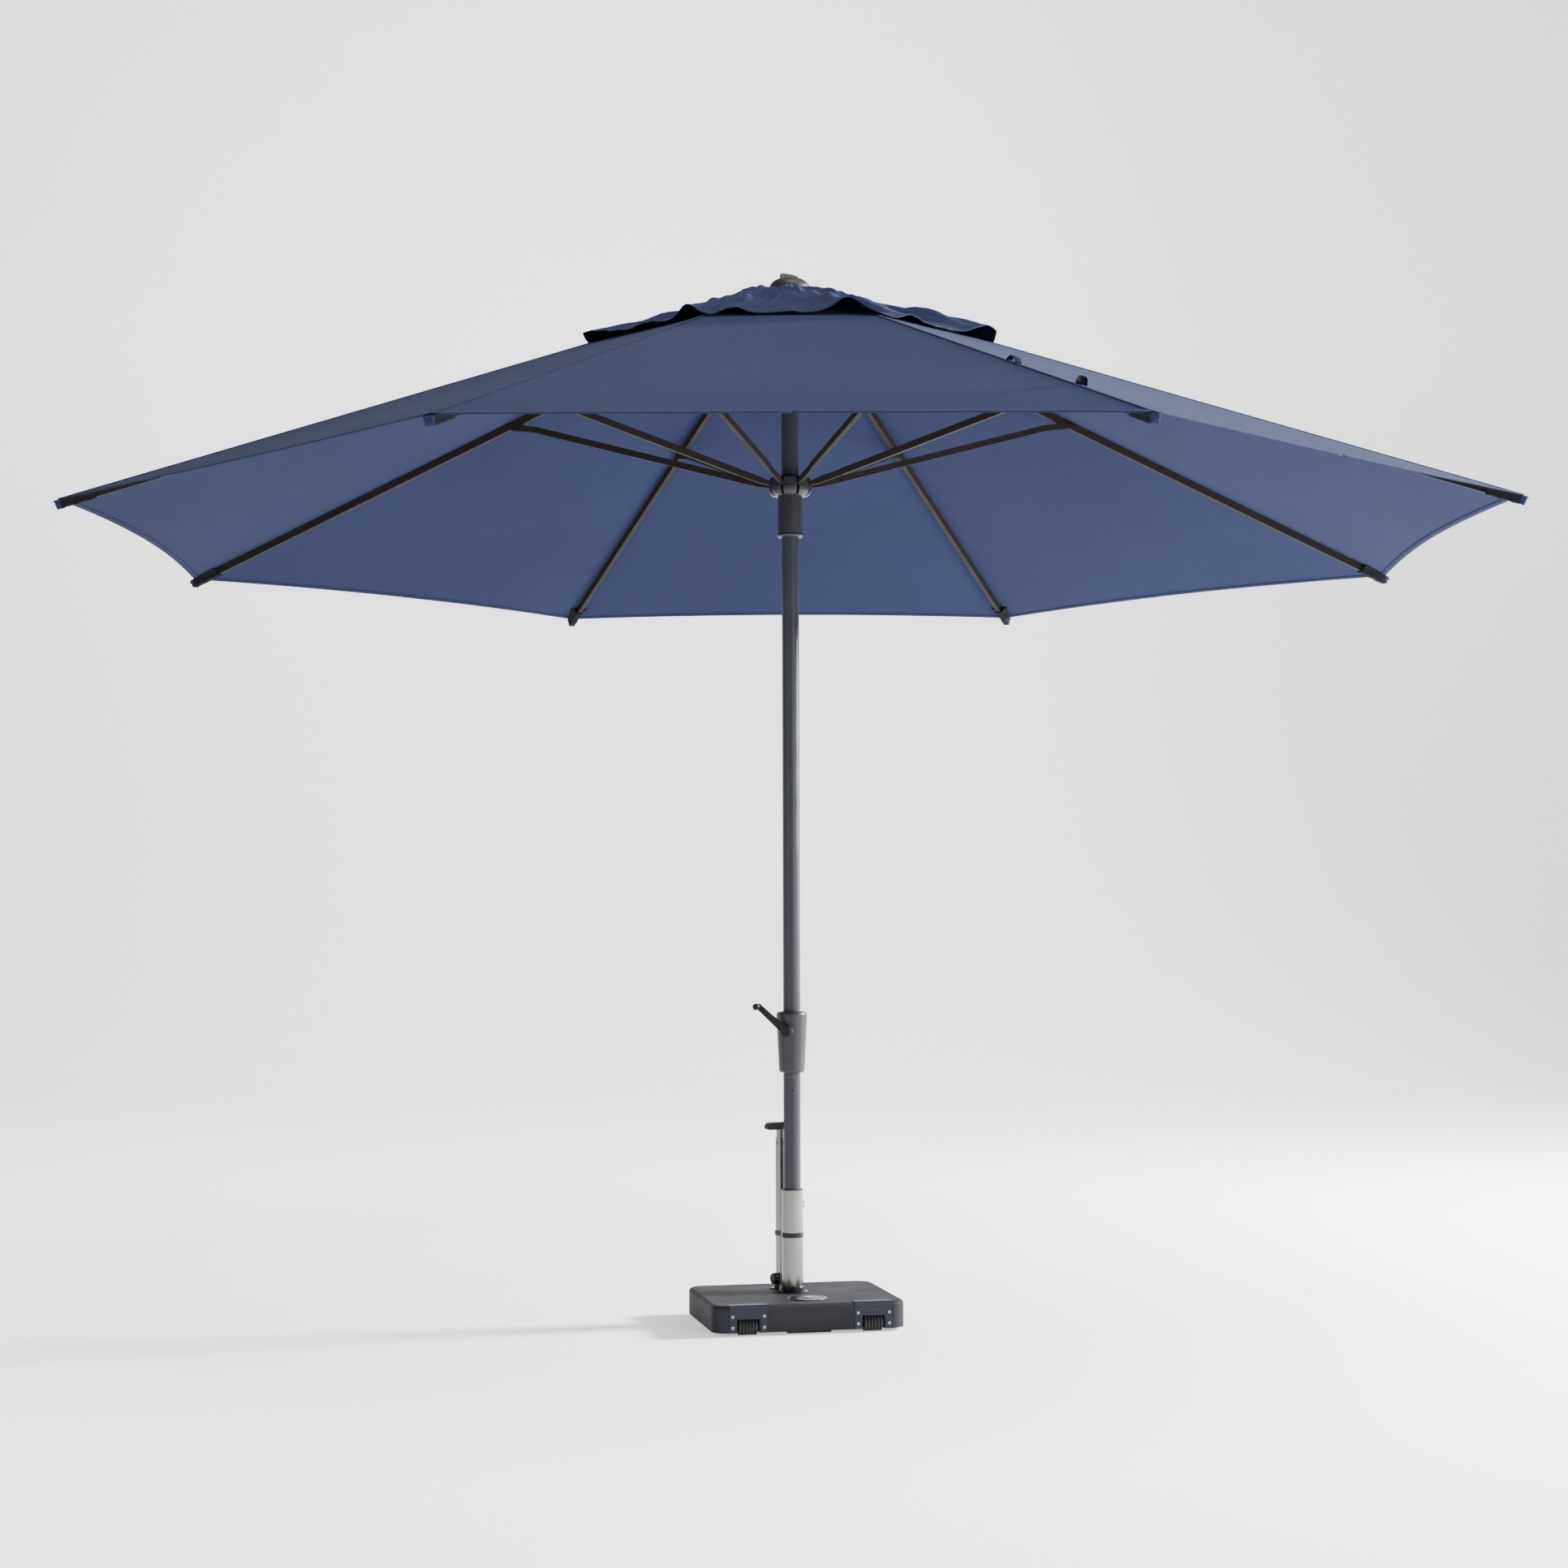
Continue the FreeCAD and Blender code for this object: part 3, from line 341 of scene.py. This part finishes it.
def piece(name, verts, faces, material, uvs=None):
    """A smooth mesh object; uvs has one place for each vertex."""
    mesh = bpy.data.meshes.new(name)
    mesh.from_pydata([tuple(v) for v in verts], [], faces)
    mesh.validate()
    if uvs:
        layer = mesh.uv_layers.new(name="UVMap")
        for loop in mesh.loops:
            layer.data[loop.index].uv = uvs[loop.vertex_index]
    mesh.polygons.foreach_set("use_smooth", [True] * len(mesh.polygons))
    mesh.materials.append(material)
    obj = bpy.data.objects.new(name, mesh)
    bpy.context.scene.collection.objects.link(obj)
    return obj


def grid_faces(rows, columns, flip=False):
    faces = []
    for i in range(rows - 1):
        for j in range(columns - 1):
            a = i * columns + j
            face = (a, a + 1, a + columns + 1, a + columns)
            faces.append(face[::-1] if flip else face)
    return faces


def swept(name, path, frames, outline, material):
    """A closed band: an outline of (across, up) carried along path, with its frame at each point."""
    verts = []
    count = len(outline)
    for point, (side, up) in zip(path, frames):
        verts += [point + side * a + up * h for a, h in outline]
    faces = []
    for i in range(len(path) - 1):
        for j in range(count):
            a = i * count + j
            b = i * count + (j + 1) % count
            faces.append((a, b, b + count, a + count))
    faces.append(tuple(reversed(range(count))))
    faces.append(tuple(range(len(verts) - count, len(verts))))
    return piece(name, verts, faces, material)


def direction(azimuth):
    return Vector((math.cos(azimuth), math.sin(azimuth), 0))


def rib_azimuth(k):
    return FIRST_AZ + STEP * (k - 1)


def ripple(point, scale, seed):
    return noise.noise(Vector((point.x * scale, point.y * scale, seed)))


def octagon_point(azimuth, rho):
    """A point on the eight-sided cone under the cloth, at this share of the way out."""
    gore = math.floor((azimuth - FIRST_AZ) / STEP)
    middle = FIRST_AZ + STEP * (gore + 0.5)
    reach = rho * math.cos(HALF) / math.cos(azimuth - middle)
    at = direction(azimuth) * reach
    at.z = CLOTH_Z - (rho - HUB_R) * FALL
    return at


def gore_share(azimuth):
    """0 on a rib and 1 on the middle line of a gore."""
    turn = (azimuth - FIRST_AZ) / STEP
    return 1 - abs(2 * (turn - math.floor(turn)) - 1)


def canopy_surface(azimuth, out):
    """The canopy cloth at out, from 0 at the vent to 1 at the hem."""
    share = gore_share(azimuth)
    across = math.sin(share * math.pi / 2)
    edge = CANOPY_R - HEM_SAG * (1 - (1 - share) ** 2)
    at = octagon_point(azimuth, VENT_R + (edge - VENT_R) * out)
    slack = 0.006 * across * math.sin(math.pi * out)
    curl = 0.006 * across * max(0.0, out - 0.86) / 0.14
    pull = 0.0028 * ripple(at, 3.2, 1.5) + 0.0008 * ripple(at, 14.0, 4.0)
    at.z += pull * across * (1 - 0.7 * out) - slack - curl
    return at


# Bumps of the flap's loose hem: place (0 at the first rib, 1 at the next), width and height.
FLAP_BUMPS = (
    (0.20, 0.12, 0.030), (0.78, 0.14, 0.024), (1.24, 0.12, 0.034), (1.80, 0.13, 0.026),
    (2.22, 0.12, 0.028), (2.76, 0.14, 0.034), (3.30, 0.13, 0.024), (3.72, 0.10, 0.026),
    (4.04, 0.20, 0.026), (4.50, 0.15, 0.012), (4.89, 0.10, 0.036), (5.17, 0.075, 0.018),
    (5.84, 0.105, 0.044), (6.30, 0.12, 0.018), (6.94, 0.12, 0.038), (7.40, 0.14, 0.022),
    (7.82, 0.12, 0.030),
)


def flap_lift(azimuth):
    """How far the flap's loose hem stands off the canopy."""
    turn = ((azimuth - FIRST_AZ) / STEP) % RIBS
    rise = 0.0025
    for place, width, height in FLAP_BUMPS:
        off = (turn - place + RIBS / 2) % RIBS - RIBS / 2
        rise += height * math.exp(-(off / width) ** 2)
    return rise


def flap_surface(azimuth, out):
    """The loose, creased flap at out, from 0 under the cap to 1 at its hem."""
    share = gore_share(azimuth)
    edge = FLAP_R - FLAP_SAG * math.sin(share * math.pi / 2) ** 1.5
    at = octagon_point(azimuth, FLAP_INNER_R + (edge - FLAP_INNER_R) * out)
    rise = flap_lift(azimuth) * out ** 2.2
    fold = Vector((math.cos(azimuth) * 2.6, math.sin(azimuth) * 2.6, out * 1.1))
    crease = noise.noise(fold * 1.7) + 0.9 * abs(noise.noise(fold * 4.4))
    crease += 0.22 * abs(noise.noise(fold * 12.0))
    belly = math.sin(math.pi * (0.04 + 0.90 * out))
    at.z += 0.002 + rise + (0.003 + 0.030 * crease) * belly
    return at


def half_sheet(name, k, side, surface, inner, outer, grid, material):
    """Half a gore of cloth, from rib k to the middle of the gap on that side."""
    rows, columns = grid
    verts, uvs = [], []
    length = outer - inner
    for i in range(rows):
        out = i / (rows - 1)
        for j in range(columns):
            azimuth = rib_azimuth(k) + side * HALF * j / (columns - 1)
            at = surface(azimuth, out)
            verts.append(at)
            across = (inner + length * out) * math.tan(HALF) * j / (columns - 1)
            uvs.append((across, (1 - out) * length / math.cos(SLOPE)))
    return piece(name, verts, grid_faces(rows, columns, side < 0), material, uvs)


def hem_band(name, k, side, surface, width, thick):
    """Folded hem on the outer edge of a half sheet, a flat tube with round edges."""
    path, frames = [], []
    step = 0.002
    for j in range(HEM_POINTS):
        azimuth = rib_azimuth(k) + side * HALF * j / (HEM_POINTS - 1)
        edge = surface(azimuth, 1.0)
        inward = (surface(azimuth, 1.0 - step) - edge).normalized()
        ahead = surface(azimuth + side * step, 1.0) - surface(azimuth - side * step, 1.0)
        up = inward.cross(ahead).normalized()
        up = up if up.z > 0 else -up
        path.append(edge)
        frames.append((inward, up))
    h = thick / 2
    outline = [(-h, 0), (-h * 0.4, h), (width - h, h), (width, 0), (width - h, -h), (-h * 0.4, -h)]
    return swept(name, path, frames, outline, TAPE)


def rib_along(k):
    """The way rib k runs, down and out from the hub."""
    return direction(rib_azimuth(k)) * math.cos(SLOPE) - Vector((0, 0, math.sin(SLOPE)))


def sector_axis(k, side):
    """In the plane of the gore, square to its rib: the way the cloth gathers as it closes."""
    along = rib_along(k)
    middle = octagon_point(rib_azimuth(k) + side * HALF, CANOPY_R)
    rib_end = octagon_point(rib_azimuth(k), CANOPY_R)
    across = middle - rib_end
    return (across - along * across.dot(along)).normalized()


def fold_with_rib(obj, k, side):
    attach(obj, "rib_%d" % k)
    anchor = octagon_point(rib_azimuth(k), PIN_R)
    sector_axis(k, side)
    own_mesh(obj)


def build_half_gore(k, side):
    """Canopy, flap and both hems on one side of rib k, attached to the rib."""
    tag = "%d%s" % (k, "a" if side < 0 else "b")
    sheet = half_sheet("canopy_" + tag, k, side, canopy_surface, VENT_R, CANOPY_R, CANOPY_GRID, CLOTH)
    hem = hem_band("canopy_hem_" + tag, k, side, canopy_surface, HEM_WIDTH, HEM_THICK)
    flap = half_sheet("flap_" + tag, k, side, flap_surface, FLAP_INNER_R, FLAP_R, FLAP_GRID, FLAP_CLOTH)
    flap_hem = hem_band("flap_hem_" + tag, k, side, flap_surface, FLAP_HEM_WIDTH, FLAP_HEM_THICK)
    for obj, keep in ((sheet, CANOPY_KEEP), (hem, CANOPY_KEEP), (flap, FLAP_KEEP), (flap_hem, FLAP_KEEP)):
        fold_with_rib(obj, k, side)
    if side < 0:
        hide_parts("canopy_panel_%d" % k)


def build_canopy():
    for k in range(1, RIBS + 1):
        for side in (-1, 1):
            build_half_gore(k, side)


def rib_frame(k):
    """Along rib k, to its side, and up from its top face."""
    along = rib_along(k)
    side = Vector((0, 0, 1)).cross(direction(rib_azimuth(k)))
    return along, side, along.cross(side)


def rib_point(k, rho, across=0.0, up=0.0):
    """A point by rib k: rho from the pole's axis, then to the side and up from its middle line."""
    _, side, normal = rib_frame(k)
    centre = direction(rib_azimuth(k)) * rho
    centre.z = HUB.z - (rho - HUB_R) * FALL
    return centre + side * across + normal * up


def seam_stitches(k, path):
    """Two rows of raised stitches along the seam over rib k."""
    _, side, normal = rib_frame(k)
    length = (path[-1] - path[0]).length
    run = (path[-1] - path[0]).normalized()
    verts, faces = [], []
    for i in range(int(length / STITCH_PITCH)):
        start = path[0] + run * (i + 0.2) * STITCH_PITCH
        for x in STITCH_ROWS:
            base = len(verts)
            for d, w, h in STITCH_SHAPE:
                verts.append(start + run * d + side * (x + w) + normal * h)
            faces += [(base, base + 2, base + 3, base + 1), (base + 2, base + 4, base + 5, base + 3)]
    return piece("seam_stitches_%d" % k, verts, faces, THREAD)


def ride_rib(obj, k):
    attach(obj, "rib_%d" % k)


def build_seams():
    """Felled seam over each rib, with two rows of stitches."""
    for k in range(1, RIBS + 1):
        _, side, normal = rib_frame(k)
        path = []
        for i in range(SEAM_POINTS):
            at = canopy_surface(rib_azimuth(k), i / (SEAM_POINTS - 1))
            path.append(at + normal * SEAM_LIFT)
        seam = swept("seam_%d" % k, path, [(side, normal)] * SEAM_POINTS, SEAM_OUTLINE, TAPE)
        ride_rib(seam, k)
        ride_rib(seam_stitches(k, path), k)


def pocket_ring(k, rho, half, drop):
    """One row of a pocket: from the cloth on one side, down round the rib, and up again."""
    ring = []
    for j in range(POCKET_COLUMNS):
        s = 2 * j / (POCKET_COLUMNS - 1) - 1
        u = max(0.0, (abs(s) - POCKET_FLAT) / 0.6)
        x = min(abs(s) / POCKET_FLAT, 1.0) * POCKET_FLAT_HALF + (half - POCKET_FLAT_HALF) * u ** 1.6
        top = COVER_UP - SIDE_FALL * x - 0.0008
        up = -drop + (top + drop) * u ** 0.8
        ring.append(rib_point(k, rho, math.copysign(x, s), up))
    return ring


def build_pockets():
    """Sewn sleeve at each rib's tip: it hangs under the rib and closes round its end."""
    for k in range(1, RIBS + 1):
        verts = []
        for i in range(POCKET_ROWS):
            t = i / (POCKET_ROWS - 1)
            crease = 0.0007 * math.sin(17.0 * t + k) + 0.0005 * math.sin(41.0 * t + 2.1 * k)
            half = 0.030 - 0.017 * t ** 0.8
            rho = CANOPY_R - POCKET_LENGTH * (1 - t) + POCKET_PAST
            verts += pocket_ring(k, rho, half, POCKET_DEPTH + crease)
        last = verts[-POCKET_COLUMNS:]
        tip = rib_point(k, CANOPY_R + 0.004, 0.0, COVER_UP)
        for shrink, out in POCKET_END:
            along = rib_along(k) * out
            verts += [tip + (v - tip) * shrink + along for v in last]
        faces = grid_faces(POCKET_ROWS + len(POCKET_END), POCKET_COLUMNS, True)
        pocket = piece("tip_pocket_%d" % k, verts, faces, POCKET, [(v.x + v.y, v.z) for v in verts])
        pocket.data.materials.append(TAPE)
        for face in pocket.data.polygons:
            if face.index >= (POCKET_ROWS - 2) * (POCKET_COLUMNS - 1):
                face.material_index = 1
        modifier = pocket.modifiers.new("thickness", "SOLIDIFY")
        modifier.thickness = POCKET_CLOTH
        modifier.offset = 0.0
        ride_rib(pocket, k)


def band(name, path, across, width, thick, material):
    """A strip of webbing along a path, its width in the direction across."""
    frames = []
    for i in range(len(path)):
        ahead = path[min(i + 1, len(path) - 1)] - path[max(i - 1, 0)]
        frames.append((across, ahead.cross(across).normalized()))
    w, h = width / 2, thick / 2
    outline = [(-w, -h * 0.5), (-w, h * 0.5), (-w * 0.92, h), (w * 0.92, h), (w, h * 0.5),
               (w, -h * 0.5), (w * 0.92, -h), (-w * 0.92, -h)]
    return swept(name, path, frames, outline, material)


def build_straps():
    """A strap and a tab sewn into the seam at the front right, and a tongue at every rib's tip."""
    along, side, normal = rib_frame(STRAP_RIB)
    start = rib_point(STRAP_RIB, STRAP_RHO, 0.004, COVER_UP + 0.0005)
    path = []
    for i in range(25):
        t = i / 24
        wave = 0.015 * math.sin(math.pi * t) ** 0.7 + 0.003 * math.sin(3 * math.pi * t)
        aside = 0.004 * math.sin(5 * t)
        path.append(start + along * (STRAP_LENGTH * t) + normal * wave + side * aside)
    strap = band("seam_strap", path, side, 0.018, 0.0016, TAPE)
    start = rib_point(STRAP_RIB, TAB_RHO, 0.006, COVER_UP - 0.0005)
    path = []
    for i in range(21):
        a = math.pi * (i / 20)
        rise = TAB_HEIGHT * math.sin(a) ** 0.6
        path.append(start + normal * rise + side * (TAB_RADIUS * (1 - math.cos(a))))
    tab = band("seam_tab", path, along, 0.030, 0.0018, GLOSSY)
    ride_rib(strap, STRAP_RIB)
    ride_rib(tab, STRAP_RIB)
    for k in range(1, RIBS + 1):
        along, side, normal = rib_frame(k)
        start = rib_point(k, CANOPY_R + 0.002, 0.0, COVER_UP - 0.003)
        path = [start + along * (TONGUE_LENGTH * i / 8) - normal * (TONGUE_DROP * (i / 8) ** 2)
                for i in range(9)]
        ride_rib(band("tip_tongue_%d" % k, path, side, 0.009, 0.0014, TAPE), k)


# ---------------------------------------------------------------- small pieces

def disc_piece(name, centre, profile, material):
    """A turned disc: profile is (radius, height) from the rim's foot up and in to the middle."""
    count = BADGE_SEGMENTS
    verts = []
    for radius, height in profile:
        for i in range(count):
            spoke = direction(2 * math.pi * i / count) * radius
            verts.append(centre + spoke + Vector((0, 0, height)))
    faces = []
    for r in range(len(profile) - 1):
        for i in range(count):
            a = r * count + i
            b = r * count + (i + 1) % count
            faces.append((a, b, b + count, a + count))
    faces.append(tuple(range(len(verts) - count, len(verts))))
    faces.append(tuple(reversed(range(count))))
    return piece(name, verts, faces, material)


def build_badge():
    """Plain round badge on the base in front of the tube, with a bright rim and a bright tile."""
    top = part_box("base_shell")[1].z
    turn = math.radians(BASE_TURN)
    front = Vector((math.sin(turn), -math.cos(turn), 0))
    side = Vector((math.cos(turn), math.sin(turn), 0))
    centre = front * BADGE_OUT + Vector((BADGE_SIDE, 0, top))
    plate = disc_piece("badge_plate", centre, BADGE_PLATE, GLOSSY)
    rim = disc_piece("badge_rim", centre, BADGE_RIM, BRIGHT_STEEL)
    start = centre - front * 0.010 + Vector((0, 0, TILE_UP))
    path = [start + front * (TILE_LENGTH * i / 6) for i in range(7)]
    tile = band("badge_tile", path, side, 0.022, 0.0018, BRIGHT_STEEL)
    for obj, slot in ((plate, "black_plastic"), (rim, "fastener_steel"), (tile, "fastener_steel")):
        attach(obj, "base")


# ---------------------------------------------------------------- stage

# Name, place, target, size across and up, and power in watts.
LIGHTS = (
    ("key", (7.6, 2.0, 3.7), (0, 0, 2.4), (1.4, 1.4), 4300),
    ("strip_right", (4.6, -5.2, 2.6), (0, 0, 1.4), (2.8, 4.6), 300),
    ("strip_left", (-4.8, -4.6, 2.4), (0, 0, 1.2), (1.5, 4.4), 80),
    ("backdrop", (0, 4.5, 9.5), (0, 15.0, 3.0), (9.0, 2.0), 900),
    ("overhead", (1.2, -2.6, 7.6), (0, -0.4, 2.6), (3.6, 3.6), 680),
)
FLOOR_FRONT = -30.0
FLOOR_NEAR = -8.0
FLOOR_HALF_WIDTH = 36.0
WALL_Y = 15.0
WALL_TOP = 16.0
SWEEP_R = 6.0
SWEEP_STEPS = 12
FLOOR_GLOW = 0.60
SKY = 0.30

CAMERA_PLACE = (-0.0195, -7.3224, 1.092)
CAMERA_PITCH = 3.10
CAMERA_ROLL = -0.166
CAMERA_LENS = 60.14
CAMERA_SENSOR = 36.0


def area_light(name, place, target, size, power):
    data = bpy.data.lights.new(name, "AREA")
    data.shape = "RECTANGLE"
    data.size, data.size_y = size
    data.energy = power
    obj = bpy.data.objects.new(name, data)
    obj.location = place
    obj.rotation_euler = (Vector(target) - Vector(place)).to_track_quat("-Z", "Y").to_euler()
    bpy.context.scene.collection.objects.link(obj)


def build_stage():
    """Pale floor that sweeps up into a backdrop far behind, and the lights."""
    rows = [(FLOOR_FRONT, 0.0), (FLOOR_NEAR, 0.0), (WALL_Y - SWEEP_R, 0.0)]
    for i in range(1, SWEEP_STEPS + 1):
        a = math.pi / 2 * i / SWEEP_STEPS
        rows.append((WALL_Y - SWEEP_R + SWEEP_R * math.sin(a), SWEEP_R - SWEEP_R * math.cos(a)))
    rows.append((WALL_Y, WALL_TOP))
    verts = [Vector((x, y, z)) for y, z in rows for x in (-FLOOR_HALF_WIDTH, FLOOR_HALF_WIDTH)]
    n = Nodes("studio_floor", 0.9)
    n.color(n.mix(n.noise(0.6, 2.0), (0.90, 0.90, 0.90), (0.93, 0.93, 0.93)))
    n.shader.inputs["Emission Color"].default_value = (1, 1, 1, 1)
    n.shader.inputs["Emission Strength"].default_value = FLOOR_GLOW
    floor = piece("floor", verts, grid_faces(len(rows), 2), n.material)
    world = bpy.data.worlds.new("studio")
    bpy.context.scene.world = world
    world.use_nodes = True
    sky = world.node_tree.nodes["Background"]
    sky.inputs["Color"].default_value = (1, 1, 1, 1)
    sky.inputs["Strength"].default_value = SKY
    for light in LIGHTS:
        area_light(*light)


def build_camera():
    data = bpy.data.cameras.new("camera")
    data.sensor_width = CAMERA_SENSOR
    data.lens = CAMERA_LENS
    camera = bpy.data.objects.new("camera", data)
    pitch, roll = math.radians(CAMERA_PITCH), math.radians(CAMERA_ROLL)
    turn = Matrix.Rotation(math.pi / 2 + pitch, 4, "X") @ Matrix.Rotation(roll, 4, "Z")
    camera.matrix_world = Matrix.Translation(CAMERA_PLACE) @ turn
    bpy.context.scene.collection.objects.link(camera)
    bpy.context.scene.camera = camera


finish_nodes()
build_canopy()
build_seams()
build_pockets()
build_straps()
paint_faces("finial_cap", WING_PLASTIC, lambda centre: centre.z > WING_Z)
build_badge()
build_stage()
build_camera()
